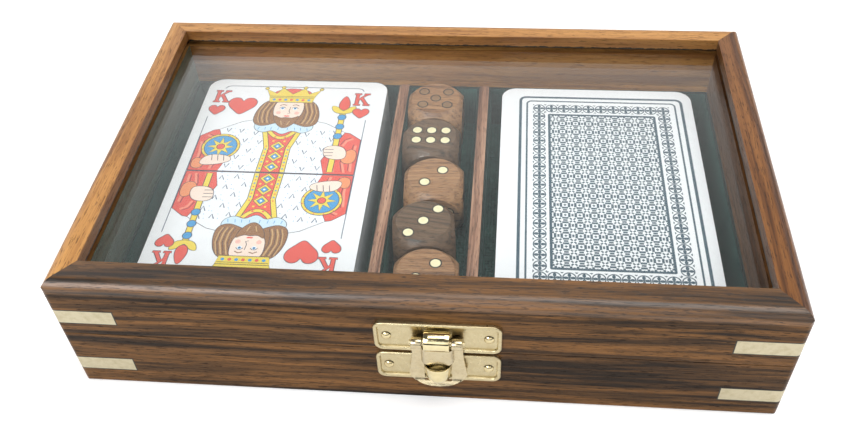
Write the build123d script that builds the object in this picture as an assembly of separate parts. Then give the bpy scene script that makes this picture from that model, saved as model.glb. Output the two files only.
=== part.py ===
from build123d import *
from math import atan, degrees
import os

# A hinged hardwood box for two decks of playing cards and five dice.
# The lid is a deep mitred frame that holds a pane of glass, and a brass clasp
# holds it shut. X runs along the front, Y points to the back, Z up, and the
# origin is under the middle of the base. Every size is in millimetres.
# The plan of the case follows from the cards, the dice and the room round them.

# -------------------------------------------------------- cards and wrappers
card_width = 58.0
card_length = 88.0
card_thickness = 0.3
deck_card_count = 54
card_corner = 4.6
wrap_thickness = 0.15

# --------------------------------------------------------------------- dice
die_size = 17.0
die_round_share = 0.665
pip_radius = 1.4
pip_depth = 0.5
pip_spread = 4.0
top_pip_counts = (5, 6, 2, 3, 2)
die_shift_shares = (-0.95, -0.95, 0.07, -0.6, 0.4)
die_turn_shares = (0.0, 0.2, 0.68, 2.05, 0.68)
die_back_share = 0.01
die_spacing_share = 0.083

# -------------------------------------- room round the cards and dice (fingers)
left_side_room = 8.9
right_side_room = 10.4
card_end_room = 9.0
die_side_room = 5.7
left_deck_side_gap = 4.7
left_deck_back_gap = 0.6
right_deck_side_gap = 5.3
right_deck_back_gap = 2.0

# ---------------------------------------------------------------- wooden case
box_height = 38.6
base_height = 20.2
lid_gap = 0.2
side_wall = 7.0
back_wall = 7.0
front_wall = 8.0
corner_radius = 1.5
rim_radius = 3.0
edge_radius = 0.6

bottom_thickness = 3.0
rabbet_width = 3.0

# ------------------------------------------------------------------ glass pane
glass_thickness = 2.0
glass_depth = 4.6
groove_gap = 1.0
groove_width = 3.0
glass_edge_gap = 0.4

# --------------------------------------------------------- felt and dividers
felt_thickness = 0.7
felt_drop = 1.9
divider_thickness = 3.0
divider_drop = 1.6
housing_depth = 1.5

# ------------------------------------------------------------ corner straps
strap_length = 15.7
strap_height = 5.2
strap_thickness = 1.0
base_strap_bottom = 5.3
lid_strap_bottom = 24.2

# ------------------------------------------------------------------- hinges
hinge_inset = 37.0
hinge_length = 20.0
hinge_barrel_radius = 1.6
hinge_pin_radius = 0.7
hinge_pin_play = 0.05
hinge_play = 0.15
hinge_standoff = 1.9
leaf_depth = 5.5
leaf_thickness = 0.9
screw_spacing = 12.0
screw_inset = 3.0
screw_head_radius = 1.4
screw_shank_radius = 0.6
screw_length = 5.0
slot_width = 0.35
slot_depth = 0.3

# -------------------------------------------------------------------- clasp
clasp_offset = 5.2
plate_width = 30.4
plate_height = 10.1
plate_margin = 0.5
plate_corner = 2.2
plate_thickness = 0.6
bead_height = 1.0
bead_width = 1.1
knuckle_width = 6.2
knuckle_radius = 2.1
pin_radius = 0.7
pin_drop = 4.4
pin_play = 0.08
ear_radius = 1.4
clasp_play = 0.3
flap_thickness = 0.6
flap_half_top = 6.1
flap_half_bottom = 7.0
flap_waist_drop = 5.0
flap_straight = 13.0
flap_length = 16.6
lip_radius = 4.0
bridge_depth = 5.4
bridge_rise = 1.4
nose_width = 6.0
nose_top = 9.6
nose_bottom = 14.7
nose_reach = 4.2
nose_wall = 0.7
nail_radius = 0.5
nail_length = 4.5
nail_head_radius = 1.2
nail_head_height = 0.6
nail_inset_x = 3.0
upper_nail_rise = 5.0
lower_nail_rise = 4.8

# --------------------------------------------------------- worked-out places
left_room = card_width + left_side_room
right_room = card_width + right_side_room
channel_width = die_size + die_side_room
box_length = left_room + right_room + channel_width + 2 * divider_thickness + 2 * side_wall
box_depth = card_length + card_end_room + front_wall + back_wall
lid_bottom = base_height + lid_gap
half_length = box_length / 2
half_depth = box_depth / 2
inner_left = -half_length + side_wall
inner_right = half_length - side_wall
inner_front = -half_depth + front_wall
inner_back = half_depth - back_wall
floor_height = bottom_thickness + felt_thickness
felt_top = base_height - felt_drop
divider_top = base_height - divider_drop
channel_left = inner_left + left_room + divider_thickness
channel_right = channel_left + channel_width
left_deck_x = inner_left + felt_thickness + left_deck_side_gap + card_width / 2
right_deck_x = inner_right - felt_thickness - right_deck_side_gap - card_width / 2
die_side_play = channel_width / 2 - felt_thickness - die_size / 2
die_row_play = inner_back - inner_front - 2 * felt_thickness - len(top_pip_counts) * die_size
die_spacing = die_row_play * die_spacing_share
die_first_y = inner_back - felt_thickness - die_row_play * die_back_share - die_size / 2
die_turn = degrees(atan(die_spacing / die_size))
hinge_x = half_length - hinge_inset
glass_top = box_height - glass_depth
glass_bottom = glass_top - glass_thickness
hinge_axis_y = half_depth + hinge_standoff
hinge_axis_z = base_height + lid_gap / 2
upper_plate_bottom = lid_bottom + plate_margin
lower_plate_bottom = base_height - plate_margin - plate_height
pin_out = plate_thickness + knuckle_radius
pin_height = upper_plate_bottom + plate_height - pin_drop
flap_back = pin_out - ear_radius
deck_height = card_thickness * deck_card_count

UP = Vector(0, 0, 1)
SIDES = {
    "front": (Vector(0, -half_depth, 0), Vector(0, 1, 0), front_wall),
    "back": (Vector(0, half_depth, 0), Vector(0, -1, 0), back_wall),
    "left": (Vector(-half_length, 0, 0), Vector(1, 0, 0), side_wall),
    "right": (Vector(half_length, 0, 0), Vector(-1, 0, 0), side_wall),
}


# ------------------------------------------------------------------- helpers
def block(x0, x1, y0, y1, z0, z1):
    """A box between two corners."""
    size = Box(x1 - x0, y1 - y0, z1 - z0)
    return Pos((x0 + x1) / 2, (y0 + y1) / 2, (z0 + z1) / 2) * size


def rounded_prism(length, depth, radius, z0, z1):
    """An upright prism with rounded corners, centred on the origin."""
    return Pos(0, 0, z0) * extrude(RectangleRounded(length, depth, radius), z1 - z0)


def rod(radius, length, centre, direction):
    """A round bar centred on a point."""
    plane = Plane(origin=centre, z_dir=direction)
    return plane * Cylinder(radius, length)


def rectangle(u0, u1, v0, v1):
    """A flat rectangle between two corners of a sketch."""
    return Pos((u0 + u1) / 2, (v0 + v1) / 2) * Rectangle(u1 - u0, v1 - v0)


def corner_of(sketch, u, v):
    """The sketch's vertex nearest to a point."""
    return min(sketch.vertices(), key=lambda p: (p.X - u) ** 2 + (p.Y - v) ** 2)


# ---------------------------------------------------- mitred boards and rails
def mitre_wedge(side, z0, z1):
    """The part of the plan that belongs to one side, between its two mitres."""
    outer_x, outer_y = half_length, half_depth
    plan = {
        "front": [(-outer_x, -outer_y), (outer_x, -outer_y),
                  (inner_right, inner_front), (inner_left, inner_front)],
        "back": [(outer_x, outer_y), (-outer_x, outer_y),
                 (inner_left, inner_back), (inner_right, inner_back)],
        "left": [(-outer_x, outer_y), (-outer_x, -outer_y),
                 (inner_left, inner_front), (inner_left, inner_back)],
        "right": [(outer_x, -outer_y), (outer_x, outer_y),
                  (inner_right, inner_back), (inner_right, inner_front)],
    }[side]
    a, b, c, d = [Vector(x, y, 0) for x, y in plan]
    points = [a + (a - d), b + (b - c), c, d]
    outline = make_face(Polyline(*[(p.X, p.Y) for p in points], close=True))
    return Pos(0, 0, z0) * extrude(outline, z1 - z0)


def side_member(side, profile, z0, z1):
    """A length of moulding along one side, cut at both mitres."""
    origin, inward, _ = SIDES[side]
    plane = Plane(origin=origin, x_dir=inward, z_dir=inward.cross(UP))
    bar = extrude(plane * profile, box_length, both=True)
    return bar & mitre_wedge(side, z0, z1) & rounded_prism(box_length, box_depth, corner_radius, z0, z1)


def board_profile(wall):
    """Section of a base board: a rabbet below takes the bottom panel."""
    section = rectangle(0, wall, 0, base_height)
    section -= rectangle(wall - rabbet_width, wall, 0, bottom_thickness)
    return fillet(corner_of(section, 0, 0), edge_radius)


def rail_profile(wall):
    """Section of a lid rail: rounded over outside, grooved for the glass inside."""
    section = rectangle(0, wall, lid_bottom, box_height)
    section = fillet(corner_of(section, 0, box_height), rim_radius)
    groove_top = glass_top + groove_gap
    return section - rectangle(wall - groove_width, wall, glass_bottom, groove_top)


def corner_strap(x_side, y_side, z0):
    """A brass strap bent round one corner and let in flush with both faces."""
    z1 = z0 + strap_height
    skin = rounded_prism(box_length, box_depth, corner_radius, z0, z1)
    core = rounded_prism(box_length - 2 * strap_thickness, box_depth - 2 * strap_thickness,
                         corner_radius - strap_thickness, z0, z1)
    x_far, y_far = x_side * half_length, y_side * half_depth
    x_near, y_near = x_far - x_side * strap_length, y_far - y_side * strap_length
    corner = block(min(x_far, x_near), max(x_far, x_near), min(y_far, y_near), max(y_far, y_near), z0, z1)
    return (skin - core) & corner


def make_straps(z0):
    """The four straps of the base or of the lid."""
    places = {"front_left": (-1, -1), "front_right": (1, -1), "back_left": (-1, 1), "back_right": (1, 1)}
    return {name: corner_strap(x_side, y_side, z0) for name, (x_side, y_side) in places.items()}


# ------------------------------------------------------------------- hinges
def hinge_leaf(centre_x, upper):
    """One leaf: a flat plate let into the wood, with rolled knuckles at the pin."""
    z0 = lid_bottom if upper else base_height - leaf_thickness
    z1 = z0 + leaf_thickness
    x0, x1 = centre_x - hinge_length / 2, centre_x + hinge_length / 2
    plate = block(x0, x1, half_depth - leaf_depth, half_depth, z0, z1)
    half_knuckle = hinge_length / 6
    outer_inside = half_knuckle + hinge_play / 2
    middle_span = (centre_x - half_knuckle + hinge_play / 2, centre_x + half_knuckle - hinge_play / 2)
    outer_spans = [(x0, centre_x - outer_inside), (centre_x + outer_inside, x1)]
    for start, end in [middle_span] if upper else outer_spans:
        middle = Vector((start + end) / 2, hinge_axis_y, hinge_axis_z)
        plate += block(start, end, half_depth, hinge_axis_y, z0, z1)
        plate += rod(hinge_barrel_radius, end - start, middle, (1, 0, 0))
    bore_radius = hinge_pin_radius + (0 if upper else hinge_pin_play)
    return plate - rod(bore_radius, box_length, Vector(0, hinge_axis_y, hinge_axis_z), (1, 0, 0))


def hinge_pin(centre_x):
    """The pin through all three knuckles."""
    return rod(hinge_pin_radius, hinge_length, Vector(centre_x, hinge_axis_y, hinge_axis_z), (1, 0, 0))


def hinge_screw(x, upper):
    """A countersunk screw with a slotted head, flush with its leaf."""
    head = Cone(screw_shank_radius, screw_head_radius, leaf_thickness, align=(Align.CENTER, Align.CENTER, Align.MAX))
    shank = Cylinder(screw_shank_radius, screw_length, align=(Align.CENTER, Align.CENTER, Align.MAX))
    slot = Pos(0, 0, -slot_depth / 2) * Box(4 * screw_head_radius, slot_width, slot_depth)
    screw = head + shank
    y = half_depth - screw_inset
    turn = Rot(180, 0, 0) if upper else Rot(0, 0, 0)
    place = Pos(x, y, lid_bottom if upper else base_height) * turn
    return place * (screw - slot), place * screw


def hinge_screws(upper):
    """The four screws of one side, and the holes that they fill."""
    screws, holes = [], []
    for side in (-1, 1):
        for end in (-1, 1):
            screw, hole = hinge_screw(side * hinge_x + end * screw_spacing / 2, upper)
            screws.append(screw)
            holes.append(hole)
    return screws, holes


# -------------------------------------------------------------------- clasp
def clasp_plane(out=0.0, height=0.0):
    """A sketch plane on the front face: x along the front, y up, z outwards."""
    return Plane(origin=(clasp_offset, -half_depth - out, height), x_dir=(1, 0, 0), z_dir=(0, -1, 0))


def clasp_profile(points_face, width):
    """A side profile (outwards, up) swept along the front to a given width."""
    plane = Plane(origin=(clasp_offset, -half_depth, pin_height), x_dir=(0, -1, 0), z_dir=(-1, 0, 0))
    return extrude(plane * points_face, width / 2, both=True)


def clasp_axis(out=pin_out):
    """The point on the clasp pin's axis."""
    return Vector(clasp_offset, -half_depth - out, pin_height)


def pressed_plate(bottom):
    """A pressed plate: a flat field inside a raised, rounded bead."""
    outline = RectangleRounded(plate_width, plate_height, plate_corner)
    field = RectangleRounded(plate_width - 2 * bead_width, plate_height - 2 * bead_width,
                             plate_corner - bead_width)
    middle = clasp_plane(0, bottom + plate_height / 2)
    plate = extrude(middle * outline, bead_height)
    plate = fillet(plate.faces().sort_by(Axis.Y)[0].edges(), bead_height * 0.4)
    return plate - extrude(clasp_plane(plate_thickness, bottom + plate_height / 2) * field, bead_height)


def clasp_upper_plate():
    """The lid's plate, with the rolled knuckle that carries the pin."""
    knuckle = rod(knuckle_radius, knuckle_width, clasp_axis(), (1, 0, 0))
    tab = rectangle(0, pin_out, 0, knuckle_radius)
    plate = pressed_plate(upper_plate_bottom) + knuckle + clasp_profile(tab, knuckle_width)
    return plate - rod(pin_radius, box_length, clasp_axis(), (1, 0, 0))


def nose_profile(shrink):
    """Side profile of the catch nose, or of the hollow inside it."""
    reach, low = nose_reach - shrink, -nose_bottom + shrink
    high = -nose_top + shrink
    root = plate_thickness
    belly = (root + (reach - root) * 0.72, low + (high - low) * 0.18)
    outline = [Line((root, low), belly), Spline(belly, (reach, low + (high - low) * 0.55), (reach - 0.4, high)),
               Line((reach - 0.4, high), (root, high)), Line((root, high), (root, low))]
    return make_face(outline)


def clasp_lower_plate():
    """The base's plate, with the scooped nose that the hasp's window drops over."""
    nose = clasp_profile(nose_profile(0.0), nose_width)
    front_edges = nose.edges().filter_by(Axis.X, reverse=True).sort_by(Axis.Y)[:2]
    nose = fillet(front_edges, 0.5)
    hollow = clasp_profile(nose_profile(nose_wall), nose_width - 2 * nose_wall)
    return pressed_plate(lower_plate_bottom) + (nose - hollow)


def flap_sheet():
    """The hasp's sheet seen from the side: straight, then curled outwards at the lip."""
    back, front = flap_back, flap_back + flap_thickness
    centre = (front + lip_radius, -flap_straight)
    curl = 50.0
    outer = CenterArc(centre, lip_radius + flap_thickness, 180, curl)
    inner = CenterArc(centre, lip_radius, 180, curl)
    outline = [Line((back, 0), (back, -flap_straight)), outer, Line(outer @ 1, inner @ 1), inner,
               Line((front, -flap_straight), (front, 0)), Line((front, 0), (back, 0))]
    return make_face(outline)


def flap_outline():
    """The bell shape of the hasp seen from the front."""
    shoulder = -flap_straight + 0.6
    waist = flap_half_top + 0.1
    left_side = Spline((-flap_half_top, 0), (-waist, -flap_waist_drop), (-flap_half_bottom, shoulder),
                       tangents=[(0, -1), (-0.1, -1)])
    right_side = Spline((flap_half_bottom, shoulder), (waist, -flap_waist_drop), (flap_half_top, 0),
                        tangents=[(-0.1, 1), (0, 1)])
    bottom = ThreePointArc((-flap_half_bottom, shoulder), (0, -flap_length), (flap_half_bottom, shoulder))
    return make_face([left_side, bottom, right_side, Line((flap_half_top, 0), (-flap_half_top, 0))])


def clasp_hasp():
    """The swinging flap: two ears on the pin, a pressed bridge, a window and a lip."""
    front_view = extrude(clasp_plane(0, pin_height) * flap_outline(), 4 * nose_reach)
    flap = clasp_profile(flap_sheet(), 4 * flap_half_bottom) & front_view
    ear_inner = knuckle_width / 2 + clasp_play
    ear_width = flap_half_top - ear_inner
    for side in (-1, 1):
        middle = clasp_axis() + Vector(side * (ear_inner + ear_width / 2), 0, 0)
        flap += rod(ear_radius, ear_width, middle, (1, 0, 0))
    bridge_top = -knuckle_radius - clasp_play
    bridge_bottom = bridge_top - bridge_depth
    bridge_front = flap_back + flap_thickness + bridge_rise
    gap_bottom = -nose_bottom - clasp_play * 2
    opening = rectangle(-ear_inner, ear_inner, gap_bottom, pin_height)
    flap -= extrude(clasp_plane(-1, pin_height) * opening, 4 * nose_reach)
    bridge_half = ear_inner + flap_thickness
    bridge = extrude(clasp_plane(flap_back, pin_height)
                     * rectangle(-bridge_half, bridge_half, bridge_bottom, bridge_top), bridge_front - flap_back)
    bridge = fillet(bridge.faces().sort_by(Axis.Y)[0].edges().filter_by(Axis.Z), flap_thickness)
    bridge -= extrude(clasp_plane(flap_back - 1, pin_height)
                      * rectangle(-ear_inner, ear_inner, bridge_bottom - 1, bridge_top + 1),
                      bridge_rise + 1)
    flap += bridge
    return flap - rod(pin_radius + pin_play, box_length, clasp_axis(), (1, 0, 0))


def clasp_pin():
    """The pin through the knuckle and both ears, with peened ends."""
    length = 2 * flap_half_top + 0.8
    return rod(pin_radius, length, clasp_axis(), (1, 0, 0))


def nail(x, height):
    """A brass nail with a domed head, driven through its plate."""
    dome_radius = (nail_head_radius ** 2 + nail_head_height ** 2) / (2 * nail_head_height)
    dome = Pos(0, 0, nail_head_height - dome_radius) * Sphere(dome_radius)
    head = dome & Pos(0, 0, nail_head_height / 2) * Cylinder(nail_head_radius, nail_head_height)
    shank = Cylinder(nail_radius, nail_length, align=(Align.CENTER, Align.CENTER, Align.MAX))
    return clasp_plane(plate_thickness, height) * (Pos(x, 0, 0) * (head + shank))


def plate_nails(bottom, rise):
    """The two nails of one clasp plate."""
    reach = plate_width / 2 - nail_inset_x
    return [nail(side * reach, bottom + rise) for side in (-1, 1)]


# ----------------------------------------------------------- inside the base
def felt_tray(x0, x1):
    """Felt glued over the floor and the four walls of one compartment."""
    outer = block(x0, x1, inner_front, inner_back, bottom_thickness, felt_top)
    t = felt_thickness
    return outer - block(x0 + t, x1 - t, inner_front + t, inner_back - t, floor_height, base_height)


def divider(x_centre):
    """A thin strip whose ends stand in housings in the front and back boards."""
    x0, x1 = x_centre - divider_thickness / 2, x_centre + divider_thickness / 2
    return block(x0, x1, inner_front - housing_depth, inner_back + housing_depth, bottom_thickness, divider_top)


def deck_prism(x, y, grow, z0, z1):
    """The outline of a card, grown all round, between two heights."""
    plan = RectangleRounded(card_width + 2 * grow, card_length + 2 * grow, card_corner + grow)
    return Pos(x, y, z0) * extrude(plan, z1 - z0)


def deck(x, back_gap):
    """A deck: the stacked cards, the top card and the clear wrapper round them."""
    y = inner_back - felt_thickness - back_gap - card_length / 2
    z0 = floor_height + wrap_thickness
    z1 = z0 + deck_height - card_thickness
    z2 = z0 + deck_height
    stack = deck_prism(x, y, 0, z0, z1)
    top_card = deck_prism(x, y, 0, z1, z2)
    wrap = deck_prism(x, y, wrap_thickness, z0 - wrap_thickness, z2 + wrap_thickness)
    return stack, top_card, wrap - deck_prism(x, y, 0, z0, z2)


# --------------------------------------------------------------------- dice
def pip_places(number):
    """Where the pips of one face lie, as shares of the pip spread."""
    four = [(u, v) for u in (-0.95, 0.95) for v in (-0.8, 0.8)]
    six = [(u, v) for u in (-1.08, 0, 1.08) for v in (-0.56, 0.56)]
    middle = [(0, 0)]
    two = [(-0.62, -0.62), (0.62, 0.62)]
    three = [(-1.05, -1.05), (0, 0), (1.05, 1.05)]
    return {1: middle, 2: two, 3: three, 4: four, 5: four + middle, 6: six}[number]


def face_turns(top):
    """The six faces of a die as (number, turn), opposite faces adding to seven."""
    beside = {5: (6, 4), 6: (2, 3), 2: (6, 3), 3: (6, 2)}[top]
    first, second = beside
    return [(top, Rot(0, 0, 0)), (7 - top, Rot(180, 0, 0)), (first, Rot(90, 0, 0)),
            (7 - first, Rot(-90, 0, 0)), (second, Rot(0, 90, 0)), (7 - second, Rot(0, -90, 0))]


def make_die(index):
    """One rounded wooden die and its inlaid brass pips."""
    body = Box(die_size, die_size, die_size) & Sphere(die_size * die_round_share)
    pip = Cylinder(pip_radius, pip_depth, align=(Align.CENTER, Align.CENTER, Align.MAX))
    pips = []
    for number, turn in face_turns(top_pip_counts[index]):
        for u, v in pip_places(number):
            pips.append(turn * Pos(u * pip_spread, v * pip_spread, die_size / 2) * pip)
    x = (channel_left + channel_right) / 2 + die_shift_shares[index] * die_side_play
    y = die_first_y - index * (die_size + die_spacing)
    place = Pos(x, y, floor_height + die_size / 2) * Rot(0, 0, die_turn_shares[index] * die_turn)
    wood = body
    for one in pips:
        wood -= one
    return place * wood, [place * one for one in pips]


# ----------------------------------------------------------------- assembly
def make_base():
    """The boards, bottom, linings, dividers and straps of the base."""
    parts = {}
    dividers = {
        "divider_left": divider(channel_left - divider_thickness / 2),
        "divider_right": divider(channel_right + divider_thickness / 2),
    }
    straps = make_straps(base_strap_bottom)
    leaves = {"hinge_left_base_leaf": hinge_leaf(-hinge_x, False),
              "hinge_right_base_leaf": hinge_leaf(hinge_x, False)}
    screws, holes = hinge_screws(False)
    nails = plate_nails(lower_plate_bottom, lower_nail_rise)
    plate = clasp_lower_plate()
    for side, (_, _, wall) in SIDES.items():
        board = side_member(side, board_profile(wall), 0, base_height)
        for strap in straps.values():
            board -= strap
        if side in ("front", "back"):
            for strip in dividers.values():
                board -= strip
        if side == "back":
            for tool in list(leaves.values()) + holes:
                board -= tool
        if side == "front":
            for one in nails:
                board -= one
        parts["base_" + side + "_board"] = board
    parts["bottom_panel"] = block(inner_left - rabbet_width, inner_right + rabbet_width,
                                  inner_front - rabbet_width, inner_back + rabbet_width, 0, bottom_thickness)
    parts.update(dividers)
    parts["felt_lining_left"] = felt_tray(inner_left, channel_left - divider_thickness)
    parts["felt_lining_middle"] = felt_tray(channel_left, channel_right)
    parts["felt_lining_right"] = felt_tray(channel_right + divider_thickness, inner_right)
    for name, strap in straps.items():
        parts["base_strap_" + name] = strap
    for name, leaf in leaves.items():
        for hole in holes:
            leaf -= hole
        parts[name] = leaf
    parts["hinge_screws_base"] = Compound(screws)
    for one in nails:
        plate -= one
    parts["clasp_lower_plate"] = plate
    parts["clasp_lower_nails"] = Compound(nails)
    return parts


def make_lid():
    """The rails, glass, straps, hinge leaves and clasp plate of the lid."""
    parts = {}
    straps = make_straps(lid_strap_bottom)
    leaves = {"hinge_left_lid_leaf": hinge_leaf(-hinge_x, True),
              "hinge_right_lid_leaf": hinge_leaf(hinge_x, True)}
    screws, holes = hinge_screws(True)
    nails = plate_nails(upper_plate_bottom, upper_nail_rise)
    plate = clasp_upper_plate()
    for side, (_, _, wall) in SIDES.items():
        rail = side_member(side, rail_profile(wall), lid_bottom, box_height)
        for strap in straps.values():
            rail -= strap
        if side == "back":
            for tool in list(leaves.values()) + holes:
                rail -= tool
        if side == "front":
            for one in nails:
                rail -= one
        parts["lid_" + side + "_rail"] = rail
    reach = groove_width - glass_edge_gap
    parts["lid_glass"] = block(inner_left - reach, inner_right + reach, inner_front - reach,
                               inner_back + reach, glass_bottom, glass_top)
    for name, strap in straps.items():
        parts["lid_strap_" + name] = strap
    for name, leaf in leaves.items():
        for hole in holes:
            leaf -= hole
        parts[name] = leaf
    parts["hinge_left_pin"] = hinge_pin(-hinge_x)
    parts["hinge_right_pin"] = hinge_pin(hinge_x)
    parts["hinge_screws_lid"] = Compound(screws)
    for one in nails:
        plate -= one
    parts["clasp_upper_plate"] = plate
    parts["clasp_upper_nails"] = Compound(nails)
    parts["clasp_pin"] = clasp_pin()
    parts["clasp_hasp"] = clasp_hasp()
    return parts


def make_contents():
    """Two wrapped decks and five dice."""
    parts = {}
    for name, x, gap in (("left", left_deck_x, left_deck_back_gap), ("right", right_deck_x, right_deck_back_gap)):
        stack, top_card, wrap = deck(x, gap)
        parts[name + "_deck_cards"] = stack
        parts[name + "_deck_top_card"] = top_card
        parts[name + "_deck_wrap"] = wrap
    for index in range(len(top_pip_counts)):
        wood, pips = make_die(index)
        parts["die_" + str(index + 1)] = wood
        parts["die_" + str(index + 1) + "_pips"] = Compound(pips)
    return parts


os.makedirs("parts", exist_ok=True)
for node, solid in {**make_base(), **make_lid(), **make_contents()}.items():
    export_step(solid, "parts/" + node + ".step")
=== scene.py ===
from math import asin, copysign, cos, hypot, pi, radians, sin, sqrt

import bmesh
import bpy
from mathutils import Matrix, Vector


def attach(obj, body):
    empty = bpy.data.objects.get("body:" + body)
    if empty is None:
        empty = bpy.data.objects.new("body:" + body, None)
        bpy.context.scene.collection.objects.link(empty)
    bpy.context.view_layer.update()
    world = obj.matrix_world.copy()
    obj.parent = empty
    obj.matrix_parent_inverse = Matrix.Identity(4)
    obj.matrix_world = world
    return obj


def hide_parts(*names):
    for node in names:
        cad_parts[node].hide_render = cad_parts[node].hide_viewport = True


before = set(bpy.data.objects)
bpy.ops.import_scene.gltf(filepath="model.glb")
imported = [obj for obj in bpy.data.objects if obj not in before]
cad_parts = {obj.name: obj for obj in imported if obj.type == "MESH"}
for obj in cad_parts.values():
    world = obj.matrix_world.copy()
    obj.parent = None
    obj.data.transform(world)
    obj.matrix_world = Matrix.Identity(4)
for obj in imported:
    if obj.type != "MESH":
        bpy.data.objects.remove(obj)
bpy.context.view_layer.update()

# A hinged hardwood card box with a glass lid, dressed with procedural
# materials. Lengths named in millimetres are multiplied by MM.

MM = 0.001
scene = bpy.context.scene


# ---- small helpers ----
def paint(red, green, blue):
    """A colour written as screen values from 0 to 255, made linear."""
    def linear(value):
        share = value / 255
        return share / 12.92 if share <= 0.04045 else ((share + 0.055) / 1.055) ** 2.4
    return (linear(red), linear(green), linear(blue), 1.0)


class Wiring:
    """Adds shader nodes to one node tree and joins their sockets."""

    def __init__(self, tree):
        self.tree = tree

    def feed(self, socket, value):
        if isinstance(value, bpy.types.NodeSocket):
            self.tree.links.new(value, socket)
        else:
            socket.default_value = value

    def add(self, kind, inputs=None, **settings):
        node = self.tree.nodes.new(kind)
        for key, value in settings.items():
            setattr(node, key, value)
        for key, value in (inputs or {}).items():
            self.feed(node.inputs[key], value)
        return node

    def math(self, operation, *values, clamp=False):
        """One operation over the values, taken two at a time from the left."""
        result = values[0]
        for value in values[1:] or (0.0,):
            node = self.add("ShaderNodeMath", {0: result, 1: value}, operation=operation, use_clamp=clamp)
            result = node.outputs[0]
        return result

    def times(self, *values):
        return self.math("MULTIPLY", *values)

    def plus(self, *values, clamp=False):
        return self.math("ADD", *values, clamp=clamp)

    def minus(self, first, second):
        return self.math("SUBTRACT", first, second)

    def most(self, *values):
        return self.math("MAXIMUM", *values)

    def apart(self, first, second=0.0):
        """How far two values are apart, without a sign."""
        return self.math("ABSOLUTE", self.minus(first, second))

    def vector(self, operation, first, second=(0, 0, 0)):
        node = self.add("ShaderNodeVectorMath", {0: first, 1: second}, operation=operation)
        return node.outputs[0]

    def split(self, vector):
        return self.add("ShaderNodeSeparateXYZ", {0: vector}).outputs

    def join(self, x, y, z):
        return self.add("ShaderNodeCombineXYZ", {0: x, 1: y, 2: z}).outputs[0]

    def noise(self, vector, scale=1.0, detail=2.0, roughness=0.5, output=0):
        inputs = {"Vector": vector, "Scale": scale, "Detail": detail, "Roughness": roughness}
        return self.add("ShaderNodeTexNoise", inputs).outputs[output]

    def window(self, value, low, high, to_low=0.0, to_high=1.0):
        """Stretches a value between two limits to another range, clamped."""
        inputs = {"Value": value, "From Min": low, "From Max": high, "To Min": to_low, "To Max": to_high}
        return self.add("ShaderNodeMapRange", inputs).outputs[0]

    def mix(self, share, first, second, blend="MIX"):
        node = self.add("ShaderNodeMix", {0: share, 6: first, 7: second}, data_type="RGBA", blend_type=blend)
        return node.outputs[2]

    def bump(self, height, strength, distance):
        inputs = {"Strength": strength, "Distance": distance, "Height": height}
        return self.add("ShaderNodeBump", inputs).outputs[0]


def new_group(name, colours, numbers, outputs=("Color", "Roughness", "Height")):
    """A group of shader nodes that takes a place, colours and numbers.

    Gives the group, its wiring, its inputs in order and the inputs of its end.
    """
    group = bpy.data.node_groups.new(name, "ShaderNodeTree")
    kinds = {"Vector": "Vector", **dict.fromkeys(colours, "Color"), **dict.fromkeys(numbers, "Float")}
    for label, kind in kinds.items():
        group.interface.new_socket(label, in_out="INPUT", socket_type="NodeSocket" + kind)
    for label in outputs:
        kind = "Color" if label == "Color" else "Float"
        group.interface.new_socket(label, in_out="OUTPUT", socket_type="NodeSocket" + kind)
    start, end = group.nodes.new("NodeGroupInput"), group.nodes.new("NodeGroupOutput")
    return group, Wiring(group), [start.outputs[label] for label in kinds], end.inputs


def use_group(wiring, group, *values):
    """Places a group in a material with its own values, given in the order of its inputs."""
    node = wiring.tree.nodes.new("ShaderNodeGroup")
    node.node_tree = group
    for socket, value in zip(node.inputs, values):
        wiring.feed(socket, value)
    return node.outputs


def new_material(name, **values):
    """A Principled material: its wiring, its shader and its object coordinates in millimetres."""
    material = bpy.data.materials.new(name)
    material.use_nodes = True
    wiring = Wiring(material.node_tree)
    shader = material.node_tree.nodes["Principled BSDF"]
    for key, value in values.items():
        shader.inputs[key.replace("_", " ")].default_value = value
    place = wiring.vector("MULTIPLY", wiring.add("ShaderNodeTexCoord").outputs["Object"], (1 / MM,) * 3)
    return material, wiring, shader.inputs, place


def cover(w, shader, finish, colour, strength, distance):
    """Joins a colour, and the roughness and height of a shared effect, to a shader."""
    w.feed(shader["Base Color"], colour)
    w.feed(shader["Roughness"], finish["Roughness"])
    w.feed(shader["Normal"], w.bump(finish["Height"], strength, distance))


def dress(node, material):
    """Gives a CAD node its material, through its own material slots."""
    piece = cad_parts[node]
    if not piece.material_slots:
        piece.data.materials.append(material)
    for slot in piece.material_slots:
        slot.material = material


# ---- shared effects ----
DRIFT_SCALE, STREAK_SCALE, PORE_SCALE = (0.014, 0.05, 0.05), (0.07, 2.6, 2.6), (0.3, 3.4, 3.4)
GRAIN_STRETCH, PORE_DEPTH = 0.03, 0.7
NEAR_BLACK = (0.004, 0.002, 0.001, 1)


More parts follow.
